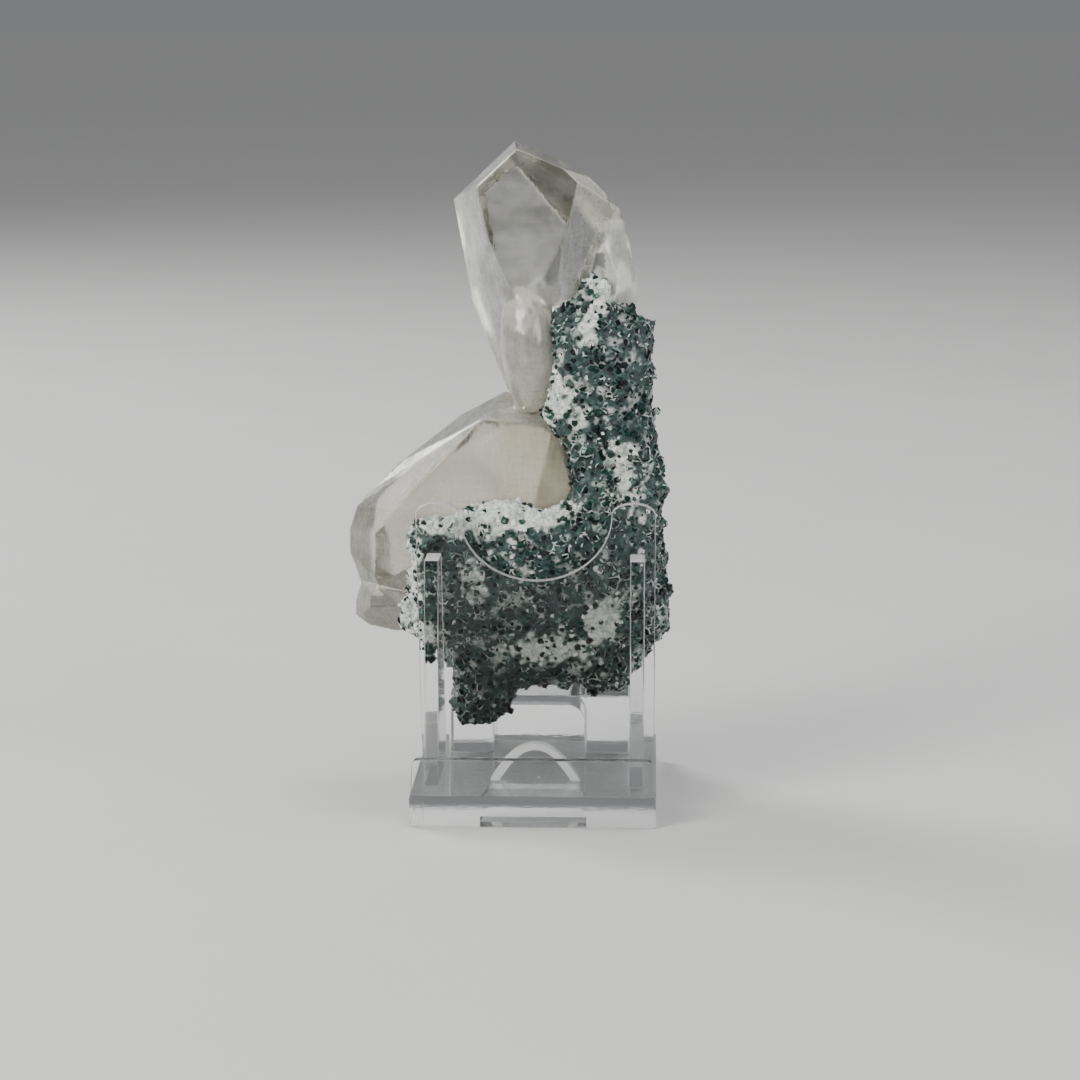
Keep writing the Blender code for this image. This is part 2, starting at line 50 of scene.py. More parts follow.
# %% [markdown]
# ## Maths on shader sockets
# A material's tree soon turns into dozens of small maths nodes. It could be wired by hand,
# but sums are easier to read as sums. So one small class wraps a socket, and adding or
# multiplying two of them makes the Math node for it. Every other node comes from `add`.


# %% Sockets that can be used in sums
class Paint:
    """A socket of a node tree. A sum on it adds Math nodes to the tree."""

    def __init__(self, tree, socket=None):
        self.tree = tree
        self.socket = socket

    def add(self, kind, inputs=None, output=0, stops=None, **settings):
        """Any node: its type, its settings, and the values or links of its sockets."""
        node = self.tree.nodes.new(kind)
        for name, value in settings.items():
            setattr(node, name, value)
        if stops:
            ramp = node.color_ramp.elements
            while len(ramp) < len(stops):
                ramp.new(0.5)
            for element, (place, colour) in zip(ramp, stops):
                element.position = place
                element.color = (*colour, 1.0)
        for key, value in (inputs or {}).items():
            if isinstance(value, Paint):
                self.tree.links.new(value.socket, node.inputs[key])
            else:
                node.inputs[key].default_value = value
        return Paint(self.tree, node.outputs[output] if node.outputs else None)

    def sum(self, operation, *others):
        inputs = dict(enumerate((self, *others)))
        return self.add("ShaderNodeMath", inputs, operation=operation)

    def __add__(self, other):
        return self.sum("ADD", other)

    def __mul__(self, other):
        return self.sum("MULTIPLY", other)

    def __sub__(self, other):
        return self.sum("SUBTRACT", other)

    def __rsub__(self, other):
        inputs = {0: other, 1: self}
        return self.add("ShaderNodeMath", inputs, operation="SUBTRACT")

    def __rtruediv__(self, other):
        inputs = {0: other, 1: self}
        return self.add("ShaderNodeMath", inputs, operation="DIVIDE")

    __radd__ = __add__
    __rmul__ = __mul__

    def clamp(self):
        """Kept between 0 and 1."""
        return self.add("ShaderNodeClamp", {"Value": self})

    def step(self, start, end):
        """0 below start, 1 above end, smooth between."""
        inputs = {"Value": self, "From Min": start, "From Max": end}
        return self.add("ShaderNodeMapRange", inputs, interpolation_type="SMOOTHSTEP")

    def mix(self, first, second):
        """One colour turning into another as this value goes from 0 to 1."""
        inputs = {0: self, 6: first, 7: second}
        return self.add("ShaderNodeMix", inputs, output=2, data_type="RGBA")


def colour(red, green, blue):
    """A colour as a socket takes it, with full alpha."""
    return (red, green, blue, 1.0)


def new_material(name):
    """An empty material: its Paint, to add nodes to, and a function that closes its tree."""
    made = bpy.data.materials.new(name)
    made.use_nodes = True
    tree = made.node_tree
    tree.nodes.clear()
    tool = Paint(tree)

    def close(surface, absorption=None):
        inputs = {"Surface": surface}
        if absorption:
            inputs["Volume"] = absorption
        tool.add("ShaderNodeOutputMaterial", inputs)
        return made

    return tool, close


def place_in_mm(tool, stretch=(1.0, 1.0, 1.0), turn=(0.0, 0.0, 0.0)):
    """Object coordinates in millimetres, stretched and turned."""
    where = tool.add("ShaderNodeTexCoord", output=3)
    scale = tuple(s / MM for s in stretch)
    inputs = {"Vector": where, "Scale": scale, "Rotation": turn}
    return tool.add("ShaderNodeMapping", inputs)


def cloud(tool, place, size, detail=3.0, rough=0.5):
    """Soft noise from 0 to 1, with lumps of about the given size in mm."""
    inputs = {"Vector": place, "Scale": 1.0 / size, "Detail": detail, "Roughness": rough}
    return tool.add("ShaderNodeTexNoise", inputs)


def flecks(tool, place, size, feature="F1"):
    """Distance from scattered seeds, about the given size in mm apart, or from cell borders."""
    inputs = {"Vector": place, "Scale": 1.0 / size}
    return tool.add("ShaderNodeTexVoronoi", inputs, feature=feature)


def bump(tool, height, distance):
    """Unevenness for the Normal socket, from a height of 0 to 1 and its real depth in mm."""
    inputs = {"Height": height, "Distance": distance * MM}
    return tool.add("ShaderNodeBump", inputs)


print("helpers for materials are ready")

# %% [markdown]
# ## Where the white grains are
# On the real specimen, white calcite lies over the green grains in bands: along the top of
# the block, down its left side, over the top of the column and down its left edge, and
# across the lower right. A picture could be painted for it, but a few soft blobs in space
# say the same, stay sharp at any size and wrap round to the back. Each blob has a middle, a
# half size and a strength. The same function colours the rock and chooses the grains.

# %% White blobs in space
# Middle x, y, z, half sizes x, y, z, in mm, and strength
WHITE_BLOBS = [
    (-17.0, -4.0, 64.5, 14.0, 9.0, 3.6, 1.3),
    (-4.0, -4.0, 67.0, 11.0, 9.0, 4.6, 1.5),
    (4.0, -5.0, 66.5, 6.0, 7.0, 3.2, 1.1),
    (-30.0, 2.0, 51.0, 4.6, 10.0, 16.0, 1.6),
    (-27.0, -2.0, 38.5, 6.0, 8.0, 3.6, 1.0),
    (14.5, -4.0, 116.5, 4.6, 9.0, 6.0, 1.0),
    (12.0, -6.0, 108.0, 3.0, 8.0, 8.0, 0.8),
    (3.0, -6.0, 92.5, 4.2, 7.0, 8.5, 1.0),
    (9.5, -7.0, 86.5, 4.0, 6.0, 4.0, 0.8),
    (19.5, -8.0, 77.0, 3.6, 7.0, 9.0, 0.75),
    (23.5, -4.0, 70.0, 4.0, 8.0, 12.0, 0.6),
    (15.5, -4.0, 41.0, 5.5, 10.0, 6.0, 1.1),
    (3.0, 0.0, 34.5, 11.0, 12.0, 4.6, 1.0),
    (-14.0, -4.0, 49.0, 5.0, 8.0, 8.0, 0.55),
    (-2.0, 22.0, 52.0, 9.0, 8.0, 6.0, 1.0),
    (20.0, 20.0, 66.0, 6.0, 8.0, 14.0, 0.9),
    (-16.0, 18.0, 40.0, 8.0, 7.0, 5.0, 0.8),
    (18.0, 13.0, 96.0, 6.0, 7.0, 8.0, 0.9),
]


# A blob's edge lies where its strength has fallen to this, before the noise breaks it up
WHITE_FROM = 0.40
WHITE_CONTRAST = 2.4
PATCH_SIZE = 5.5 * MM
CRUMB_SIZE = 1.6 * MM


def clamped(value):
    """The value kept between 0 and 1."""
    return min(1.0, max(0.0, value))


def broken_noise(point, size):
    """Noise about 0 in three layers: lumps of the given size, and two finer ones on them."""
    return noise.fractal(point / size, 0.8, 2.0, 3)


def whiteness(point):
    """From 0, all green, to 1, all white, at a point in metres."""
    most = 0.0
    for x, y, z, wide, deep, high, strength in WHITE_BLOBS:
        away = Vector(
            (
                (point.x / MM - x) / wide,
                (point.y / MM - y) / deep,
                (point.z / MM - z) / high,
            )
        )
        most = max(most, strength * math.exp(-away.length_squared))
    patches = broken_noise(point, PATCH_SIZE)
    crumbs = noise.noise(point / CRUMB_SIZE)
    return clamped((most - WHITE_FROM + 0.38 * patches + 0.42 * crumbs) * WHITE_CONTRAST)


print(len(WHITE_BLOBS), "white blobs")

# %% [markdown]
# ## The rock under the grains
# The matrix is one body of grown-together grains. Its solid has the right lumps but flat
# faces. A copy of it is merged, remeshed finely and smoothed, drawn in by the height of a
# grain, and pushed out again in small round cells, so that what shows between the loose
# grains is grainy too. Displacement in a shader would do the same, but it would not be in
# the mesh itself.


# %% Copies of the frame's solids
MERGE_WITHIN = 0.004 * MM
FLAT_WITHIN = math.radians(0.4)


def merged_copy(node, name):
    """A copy of a frame solid with its loose triangles joined up and flat faces made whole."""
    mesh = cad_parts[node].data.copy()
    bm = bmesh.new()
    bm.from_mesh(mesh)
    bmesh.ops.remove_doubles(bm, verts=bm.verts, dist=MERGE_WITHIN)
    bmesh.ops.dissolve_limit(bm, angle_limit=FLAT_WITHIN, verts=bm.verts, edges=bm.edges)
    bm.to_mesh(mesh)
    bm.free()
    mesh.materials.clear()
    mesh.name = name
    piece = bpy.data.objects.new(name, mesh)
    bpy.context.scene.collection.objects.link(piece)
    return piece


def freeze(piece):
    """Makes a piece's modifiers real."""
    graph = bpy.context.evaluated_depsgraph_get()
    mesh = bpy.data.meshes.new_from_object(piece.evaluated_get(graph))
    piece.modifiers.clear()
    old = piece.data
    piece.data = mesh
    bpy.data.meshes.remove(old)
    mesh.name = piece.name


def smooth(piece, angle=180.0):
    """Smooth shading, except over edges sharper than the angle."""
    piece.data.shade_smooth()
    if angle < 180.0:
        piece.data.set_sharp_from_angle(angle=math.radians(angle))


def finish_piece(piece, node):
    """Gives a piece its body, the frame solid it stands for, if any."""
    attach(piece, "root")
    if node:
        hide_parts(node)
    faces = sum(len(p.vertices) - 2 for p in piece.data.polygons)
    print(piece.name, faces, "triangles")


print("helpers for copies are ready")

# %% Remesh the rock
ROCK_CELL = 0.55 * MM
ROCK_SMOOTHING = 10

rock = merged_copy("matrix", "matrix_rock")
remesh = rock.modifiers.new("Remesh", "REMESH")
remesh.mode = "VOXEL"
remesh.voxel_size = ROCK_CELL
relax = rock.modifiers.new("Relax", "SMOOTH")
relax.factor = 0.5
relax.iterations = ROCK_SMOOTHING
freeze(rock)


def keep_main_body(mesh):
    """Drops the crumbs that the remesh has parted from the rock."""
    bm = bmesh.new()
    bm.from_mesh(mesh)
    unseen = set(bm.verts)
    islands = []
    while unseen:
        border = [unseen.pop()]
        island = list(border)
        while border:
            for link in border.pop().link_edges:
                for vert in link.verts:
                    if vert in unseen:
                        unseen.discard(vert)
                        border.append(vert)
                        island.append(vert)
        islands.append(island)
    islands.sort(key=len)
    for island in islands[:-1]:
        bmesh.ops.delete(bm, geom=island, context="VERTS")
    print("crumbs dropped:", len(islands) - 1)
    bm.to_mesh(mesh)
    bm.free()


keep_main_body(rock.data)
print("remeshed rock:", len(rock.data.vertices), "points")

# %% Roughen the rock and paint its white
GRAIN_ROOM = 0.75 * MM
CELL_SIZE = 2.1 * MM
CELL_HEIGHT = 0.5 * MM
DRIFT_SIZE = 5.0 * MM
DRIFT_HEIGHT = 0.25 * MM


def roughen_rock(mesh):
    """Draws the surface in by a grain's height and lifts round cells out of it."""
    bm = bmesh.new()
    bm.from_mesh(mesh)
    bm.normal_update()
    moves = []
    for vert in bm.verts:
        distances, _ = noise.voronoi(vert.co / CELL_SIZE)
        dome = 1.0 - min(1.0, distances[0]) ** 2
        drift = noise.noise(vert.co / DRIFT_SIZE)
        moves.append(vert.normal * (dome * CELL_HEIGHT + drift * DRIFT_HEIGHT - GRAIN_ROOM))
    for vert, move in zip(bm.verts, moves):
        vert.co += move
    bm.to_mesh(mesh)
    bm.free()


def paint_white(mesh):
    """Writes how white each point is, for the shader and for the grains."""
    white = mesh.attributes.new("white", "FLOAT", "POINT")
    white.data.foreach_set("value", [whiteness(v.co) for v in mesh.vertices])


roughen_rock(rock.data)
paint_white(rock.data)
smooth(rock)
whites = [value.value for value in rock.data.attributes["white"].data]
print("rock: white share", round(sum(whites) / len(whites), 2))

# %% [markdown]
# ## Grains
# The real surface is a crust of grains one to two millimetres wide: glassy, dark green to
# teal, with small white rhombs over them where the calcite has grown. Placing them by hand
# is hopeless, so a Geometry Nodes tree scatters them: points that keep their distance from
# each other, a low-faced grain on each, turned and sized at random, and each with its own
# tint. The tree keeps the tint as an attribute for the shader, and ends in plain mesh.


# %% One grain of each kind
def grain_shape(name, corners):
    """A small convex shape from the hull of its corners, about one unit in radius."""
    bm = bmesh.new()
    for corner in corners:
        bm.verts.new(corner)
    bmesh.ops.convex_hull(bm, input=bm.verts)
    bmesh.ops.dissolve_limit(bm, angle_limit=0.02, verts=bm.verts, edges=bm.edges)
    mesh = bpy.data.meshes.new(name)
    bm.to_mesh(mesh)
    bm.free()
    shape = bpy.data.objects.new(name, mesh)
    bpy.context.scene.collection.objects.link(shape)
    return shape


def dodecahedron_corners():
    """A rhombic dodecahedron, the shape that garnet-like grains tend to."""
    for x in (-1, 1):
        for y in (-1, 1):
            for z in (-1, 1):
                yield 0.56 * x, 0.56 * y, 0.56 * z
    for axis in range(3):
        for side in (-1.12, 1.12):
            yield tuple(side if a == axis else 0.0 for a in range(3))


def rhomb_corners():
    """A blunt rhomb, as calcite splits."""
    for x in (-1, 1):
        for y in (-1, 1):
            for z in (-1, 1):
                yield 0.6 * x + 0.14 * y, 0.6 * y + 0.16 * z, 0.5 * z


green_shape = grain_shape("green_grain_shape", dodecahedron_corners())
white_shape = grain_shape("white_grain_shape", rhomb_corners())
print("grain shapes:", len(green_shape.data.polygons), len(white_shape.data.polygons), "faces")


# %% The tree that scatters grains
def add_input(tree, name, kind, value=None):
    """A named input of the tree. A modifier's input is later set by the name it returns."""
    socket = tree.interface.new_socket(name, in_out="INPUT", socket_type=kind)
    if value is not None:
        socket.default_value = value
    return socket.identifier


# Poisson scattering thins a dense cloud of points out. This many for each square of the
# spacing is enough to fill the surface.
POINTS_TO_THIN = 2.5


def scatter_tree(name, shape, material, keep_white, sunk):
    """The tree for one kind of grain. keep_white turns the white into the share of grains."""
    tree = bpy.data.node_groups.new(name, "GeometryNodeTree")
    ids = {
        "Rock": add_input(tree, "Rock", "NodeSocketGeometry"),
        "Spacing": add_input(tree, "Spacing", "NodeSocketFloat", 1.0 * MM),
        "Smallest": add_input(tree, "Smallest", "NodeSocketFloat", 0.5 * MM),
        "Largest": add_input(tree, "Largest", "NodeSocketFloat", 0.9 * MM),
        "Seed": add_input(tree, "Seed", "NodeSocketInt", 1),
    }
    tree.interface.new_socket("Grains", in_out="OUTPUT", socket_type="NodeSocketGeometry")
    start = tree.nodes.new("NodeGroupInput")
    given = {s.name: Paint(tree, s) for s in start.outputs if s.name}
    tool = Paint(tree)

    white = tool.add("GeometryNodeInputNamedAttribute", {"Name": "white"}, data_type="FLOAT")
    kept = keep_white(white).clamp()
    dense = POINTS_TO_THIN / (given["Spacing"] * given["Spacing"])
    scatter = tree.nodes.new("GeometryNodeDistributePointsOnFaces")
    scatter.distribute_method = "POISSON"
    for key, value in {
        "Mesh": given["Rock"],
        "Distance Min": given["Spacing"],
        "Density Max": dense,
        "Density Factor": kept,
        "Seed": given["Seed"],
    }.items():
        tree.links.new(value.socket, scatter.inputs[key])
    points = Paint(tree, scatter.outputs["Points"])
    normal = Paint(tree, scatter.outputs["Normal"])

    # Each grain sinks a little into the rock
    back = tool.add("ShaderNodeVectorMath", {0: normal, "Scale": -sunk}, operation="SCALE")
    points = tool.add("GeometryNodeSetPosition", {"Geometry": points, "Offset": back})

    full_turn = (math.tau, math.tau, math.tau)
    turn = tool.add(
        "FunctionNodeRandomValue",
        {"Max": full_turn, "Seed": given["Seed"] + 1},
        data_type="FLOAT_VECTOR",
    )
    size = tool.add(
        "FunctionNodeRandomValue",
        {2: given["Smallest"], 3: given["Largest"], "Seed": given["Seed"] + 2},
        output=1,
        data_type="FLOAT",
    )
    stretch = tool.add(
        "FunctionNodeRandomValue",
        {"Min": (0.8, 0.8, 0.8), "Max": (1.2, 1.2, 1.2), "Seed": given["Seed"] + 3},
        data_type="FLOAT_VECTOR",
    )
    scale = tool.add("ShaderNodeVectorMath", {0: stretch, "Scale": size}, operation="SCALE")
    tint = tool.add(
        "FunctionNodeRandomValue", {"Seed": given["Seed"] + 4}, output=1, data_type="FLOAT"
    )
    points = tool.add(
        "GeometryNodeStoreNamedAttribute",
        {"Geometry": points, "Name": "tint", "Value": tint},
        data_type="FLOAT",
        domain="POINT",
    )
    one = tool.add("GeometryNodeObjectInfo", {"Object": shape}, output=4)
    copies = tool.add(
        "GeometryNodeInstanceOnPoints",
        {"Points": points, "Instance": one, "Rotation": turn, "Scale": scale},
    )
    solid = tool.add("GeometryNodeRealizeInstances", {"Geometry": copies})
    coloured = tool.add("GeometryNodeSetMaterial", {"Geometry": solid, "Material": material})
    end = tree.nodes.new("NodeGroupOutput")
    tree.links.new(coloured.socket, end.inputs["Grains"])
    return tree, ids


def scatter(name, tree_and_ids, **sizes):
    """Runs a scatter tree on the rock and keeps its result as a plain mesh."""
    tree, ids = tree_and_ids
    piece = bpy.data.objects.new(name, rock.data.copy())
    bpy.context.scene.collection.objects.link(piece)
    modifier = piece.modifiers.new("Scatter", "NODES")
    modifier.node_group = tree
    for key, value in sizes.items():
        modifier[ids[key]] = value
    freeze(piece)
    return piece


print("scatter tree is ready")

# %% [markdown]
# ## Green and white finishes
# The green grains are glassy and vary one by one, from nearly black through bottle green to
# a pale teal, and a pale film outlines them in places. A flat green would look like paint,
# so each grain's own tint picks its colour on a ramp. The rock between them whitens where
# the calcite has grown. The white is not quite white either: creamy, a little glossy, and
# greenish where it is thin.


# %% Colours of the grains and of the rock between them
# Stops from the darkest to the palest: place on the ramp, colour
GREEN_STOPS = [
    (0.0, (0.001, 0.002, 0.002)),
    (0.42, (0.002, 0.009, 0.008)),
    (0.66, (0.006, 0.029, 0.024)),
    (0.86, (0.024, 0.080, 0.064)),
    (1.0, (0.34, 0.44, 0.39)),
]
WHITE_STOPS = [
    (0.0, (0.20, 0.27, 0.24)),
    (0.3, (0.46, 0.53, 0.48)),
    (0.6, (0.76, 0.78, 0.73)),
    (1.0, (0.90, 0.90, 0.86)),
]
PIT_STOPS = [
    (0.3, (0.004, 0.010, 0.009)),
    (0.55, (0.02, 0.05, 0.045)),
    (0.8, (0.10, 0.18, 0.15)),
]
CREAM_STOPS = [
    (0.3, (0.22, 0.29, 0.26)),
    (0.5, (0.56, 0.60, 0.55)),
    (0.75, (0.86, 0.86, 0.81)),
]
RIM_COLOUR = colour(0.66, 0.73, 0.67)
print("ramps:", len(GREEN_STOPS), len(WHITE_STOPS), len(PIT_STOPS), len(CREAM_STOPS), "stops")


# %% Materials of the rock and its grains
MINERAL_IOR = 1.6


def pale_rims(tool, where):
    """Pale film along the borders of cells about 2 mm wide, here more, there less."""
    border = 1.0 - flecks(tool, where, 2.3, feature="DISTANCE_TO_EDGE").step(0.02, 0.10)
    return border * cloud(tool, where, 5.0, 3.0).step(0.38, 0.60)


def grain_material(name, stops, rough, coat, spread, rims=None):
    """A glassy finish. Each grain's own tint and broad patches pick its colour on a ramp."""
    tool, close = new_material(name)
    tint = tool.add("ShaderNodeAttribute", output=2, attribute_name="tint")
    where = place_in_mm(tool)
    mottle = cloud(tool, where, 0.8, 2.0)
    patches = cloud(tool, where, 7.0, 2.0)
    shade = (tint * 0.55 + (mottle - 0.5) * 0.5 + (patches - 0.5) * spread + 0.2).clamp()
    base = tool.add("ShaderNodeValToRGB", {"Fac": shade}, stops=stops)
    if rims:
        base = (pale_rims(tool, where) * rims).mix(base, RIM_COLOUR)
    surface = tool.add(
        "ShaderNodeBsdfPrincipled",
        {
            "Base Color": base,
            "Roughness": (mottle * 0.3 + rough).clamp(),
            "Specular IOR Level": 0.12,
            "Normal": bump(tool, mottle, 0.08),
            "Coat Weight": coat,
            "Coat Roughness": 0.10,
            "IOR": MINERAL_IOR,
        },
    )
    return close(surface)


def rock_material():
    """Pale film where grains touch, near black in the pits of the green parts."""
    tool, close = new_material("rock_between_grains")
    white = tool.add("ShaderNodeAttribute", output=2, attribute_name="white")
    where = place_in_mm(tool)
    seeds = flecks(tool, where, 1.3)
    mottle = cloud(tool, where, 1.1, 3.0)
    film = cloud(tool, where, 3.4, 3.0)
    pits = tool.add("ShaderNodeValToRGB", {"Fac": mottle}, stops=PIT_STOPS)
    cream = tool.add("ShaderNodeValToRGB", {"Fac": mottle}, stops=CREAM_STOPS)
    amount = (white * 1.8 + film.step(0.50, 0.66) * 0.6 - seeds * 0.30).clamp()
    surface = tool.add(
        "ShaderNodeBsdfPrincipled",
        {
            "Base Color": amount.mix(pits, cream),
            "Roughness": mottle * 0.3 + 0.35,
            "Normal": bump(tool, seeds + mottle * 0.5, 0.2),
        },
    )
    return close(surface)


green_finish = grain_material(
    "green_grains", GREEN_STOPS, rough=0.14, coat=0.18, spread=0.9, rims=0.7
)
white_finish = grain_material("white_grains", WHITE_STOPS, rough=0.30, coat=0.25, spread=0.3)
rock.data.materials.append(rock_material())
print("finishes:", green_finish.name, white_finish.name, rock.data.materials[0].name)

# %% Scatter the grains
GREEN_SUNK = 0.38 * MM
WHITE_SUNK = 0.12 * MM

green_tree = scatter_tree(
    "Green grains", green_shape, green_finish, lambda white: 1.0 - white * 0.62, GREEN_SUNK
)
white_tree = scatter_tree(
    "White grains", white_shape, white_finish, lambda white: white * 1.15 + 0.02, WHITE_SUNK
)
green_grains = scatter(
    "green_grains", green_tree, Spacing=1.25 * MM, Smallest=0.42 * MM, Largest=1.1 * MM, Seed=3
)
white_grains = scatter(
    "white_grains", white_tree, Spacing=0.8 * MM, Smallest=0.30 * MM, Largest=0.80 * MM, Seed=8
)
for shape in (green_shape, white_shape):
    bpy.data.objects.remove(shape)
finish_piece(rock, "matrix")
finish_piece(green_grains, None)
finish_piece(white_grains, None)

# %% [markdown]
# ## Clear crystals
# Calcite is clear with faint growth lines, thin veils and a warm cast where it is thick. The
# solid has the right flat faces. A copy gets a fine bevel on every edge, because a perfectly
# sharp edge never catches light, and is cut into small triangles so that its faces can swell
# and dip by about a tenth of a millimetre, as grown faces do. That little unevenness is what
# breaks up the view through it. Two places that are round on the real one are smoothed again
# and again: the egg-shaped crystal in the middle and the shoulder on the right.

# %% Bevel the crystals' edges
EDGE_WIDTH = 0.22 * MM
SHORTEST_EDGE = 0.2 * MM
SLIVER_ANGLE = math.radians(1.5)
BEVEL_FROM = math.radians(9)


def drop_short_edges(mesh, shortest):
    """Closes up slivers, which would otherwise pinch the bevel."""
    bm = bmesh.new()
    bm.from_mesh(mesh)
    bmesh.ops.remove_doubles(bm, verts=bm.verts, dist=shortest)
    bmesh.ops.dissolve_degenerate(bm, dist=shortest / 2, edges=bm.edges)
    bmesh.ops.dissolve_limit(bm, angle_limit=SLIVER_ANGLE, verts=bm.verts, edges=bm.edges)
    print("corners:", len(bm.verts), "faces:", len(bm.faces))
    bm.to_mesh(mesh)
    bm.free()


crystals = merged_copy("calcite_crystals", "clear_crystals")
drop_short_edges(crystals.data, SHORTEST_EDGE)
edge = crystals.modifiers.new("Edges", "BEVEL")
edge.use_clamp_overlap = False
edge.width = EDGE_WIDTH
edge.segments = 2
edge.limit_method = "ANGLE"
edge.angle_limit = BEVEL_FROM
freeze(crystals)
print("bevelled crystals:", len(crystals.data.polygons), "faces")

# %% Divide, soften and ripple the crystals
LONGEST_EDGE = 0.9 * MM
DIVIDE_ROUNDS = 9
SOFTEN_ROUNDS = 34


def divide(mesh, longest):
    """Splits edges until none is longer than asked, so that flat faces get inner points."""
    bm = bmesh.new()
    bm.from_mesh(mesh)
    bmesh.ops.triangulate(bm, faces=bm.faces)
    for _ in range(DIVIDE_ROUNDS):
        long = [e for e in bm.edges if e.calc_length() > longest]
        if not long:
            break
        bmesh.ops.subdivide_edges(bm, edges=long, cuts=1)
        bmesh.ops.triangulate(bm, faces=bm.faces)
    bm.to_mesh(mesh)
    bm.free()


def in_egg(point):
    """Whether a point in mm is on the egg-shaped middle crystal or just above it."""
    x, y, z = point
    behind = 4.5 if z < 96.0 else -1.0
    return -9.0 < x < 6.5 and 82.0 < z < 118.5 and y < behind


def on_shoulder(point):
    """Whether a point in mm is on the rounded shoulder to the right of the tall crystal."""
    x, _, z = point
    return x > 15.0 and 106.0 < z < 130.0


def soften(mesh, rounds):
    """Rounds the egg-shaped crystal and the shoulder by moving points to their neighbours."""
    bm = bmesh.new()
    bm.from_mesh(mesh)
    groups = [[v for v in bm.verts if inside(v.co / MM)] for inside in (in_egg, on_shoulder)]
    print("points softened:", [len(group) for group in groups])
    for _ in range(rounds):
        for group in groups:
            bmesh.ops.smooth_vert(
                bm, verts=group, factor=0.5, use_axis_x=True, use_axis_y=True, use_axis_z=True
            )
    bm.to_mesh(mesh)
    bm.free()


# Size of a swell and its height either way
BROAD_SWELL = (9.0 * MM, 0.10 * MM)
FINE_SWELL = (2.8 * MM, 0.03 * MM)


def ripple(mesh):
    """The broad and fine swells and dips of grown faces."""
    bm = bmesh.new()
    bm.from_mesh(mesh)
    bm.normal_update()
    moves = []
    for vert in bm.verts:
        height = sum(noise.noise(vert.co / size) * high for size, high in (BROAD_SWELL, FINE_SWELL))
        moves.append(vert.normal * height)
    for vert, move in zip(bm.verts, moves):
        vert.co += move
    bm.to_mesh(mesh)
    bm.free()


divide(crystals.data, LONGEST_EDGE)
soften(crystals.data, SOFTEN_ROUNDS)
ripple(crystals.data)
smooth(crystals)
print("crystals:", len(crystals.data.polygons), "faces")

# %% [markdown]
# ## How milky and how warm each part is
# The crystals are not equally clear. The tall one has a clear window in front between a
# cloudy left face and a pale right one, the egg in the middle is milky and cream, and the
# broad one is beige with a paler rim. Internal clouds could be modelled as volumes, but
# they render slowly and don't export. So each point of the surface gets a share of milk and
# of warmth from where it is and which way it faces, and the shader mixes by them.


# %% Milk and warmth
def near(value, middle, half):
    """1 at the middle, falling softly to 0 about a half width away."""
    return math.exp(-(((value - middle) / half) ** 2))


def part_of(point):
    """Which crystal a point in mm belongs to."""
    x, y, z = point
    if -9.2 < x < 5.5 and y < -1.0 and 88.0 < z < 116.6:
        return "middle"
    if z > 93.0 or (x > 4.0 and z > 88.5):
        return "shoulder" if x > 15.0 and z < 131.0 else "tall"
    return "broad"


# Thin white healed cracks at the foot of the clear window: x, z of both ends, in mm
WHITE_LINES = [
    (-5.4, 112.6, 0.4, 118.4),
    (0.6, 118.6, 3.0, 113.8),
    (-15.0, 124.0, -11.0, 108.0),
]


def away_from(x, z, start_x, start_z, end_x, end_z):
    """Distance in mm from a line seen from the front."""
    along = Vector((end_x - start_x, end_z - start_z))
    offset = Vector((x - start_x, z - start_z))
    share = clamped(offset.dot(along) / along.length_squared)
    return (offset - along * share).length


def tall_looks(x, z, normal):
    """Cloudy on the left face, pale on the right one, clear in the window between them."""
    left = clamped(-normal.x * 1.8)
    right = clamped(normal.x * 1.8)
    milk = 0.56 * left + 0.26 * right + 0.16 * near(z, 106.0, 8.0)
    milk += 0.55 * max(near(away_from(x, z, *line), 0.0, 0.7) for line in WHITE_LINES)
    milk += 0.70 * near(x, 4.6, 2.4) * near(z, 112.5, 4.5)
    return milk, 0.25 * near(z, 94.0, 8.0)


def broad_looks(x, z, normal):
    """Beige, with a paler rim, a curved clearer band, a veil inside it and a cream right."""
    rim = clamped((1.0 - max(0.0, -normal.y)) * 2.0)
    cream = near(max(0.0, -6.5 - x), 0.0, 3.0)
    band = near(math.hypot(x + 17.0, (z - 68.0) * 1.1), 9.0, 2.0)
    veil = near(math.hypot(x + 17.5, z - 69.0), 0.0, 6.0)
    milk = 0.20 + 0.30 * rim + 0.24 * cream + (0.32 * veil - 0.28 * band) * (1.0 - rim)
    return milk, 0.72 + 0.28 * cream - 0.62 * rim + 0.28 * band


CLOUD_SIZE = 7.0 * MM
MOST_MILK = 0.9


def milk_and_warmth(point, normal):
    """How cloudy and how cream a point is, each from 0 to 1. The backs stay clearer."""
    x, y, z = (c / MM for c in point)
    kind = part_of((x, y, z))
    if kind == "tall":
        milk, warm = tall_looks(x, z, normal)
    elif kind == "shoulder":
        milk, warm = 0.75, 0.15
    elif kind == "middle":
        milk, warm = 0.46 + 0.10 * near(z, 96.0, 5.0), 0.35
    else:
        milk, warm = broad_looks(x, z, normal)
    towards_front = min(1.0, max(0.3, (20.0 - y) / 9.0))
    milk = milk * towards_front + 0.16 * broken_noise(point, CLOUD_SIZE)
    return min(MOST_MILK, clamped(milk)), clamped(warm)


def paint_milk(mesh):
    """Writes the milk and the warmth of each point, for the shader."""
    pairs = [milk_and_warmth(v.co, v.normal) for v in mesh.vertices]
    for index, name in enumerate(("milk", "warm")):
        layer = mesh.attributes.new(name, "FLOAT", "POINT")
        layer.data.foreach_set("value", [pair[index] for pair in pairs])


paint_milk(crystals.data)
milks = [value.value for value in crystals.data.attributes["milk"].data]
print("milk from", round(min(milks), 2), "to", round(max(milks), 2))

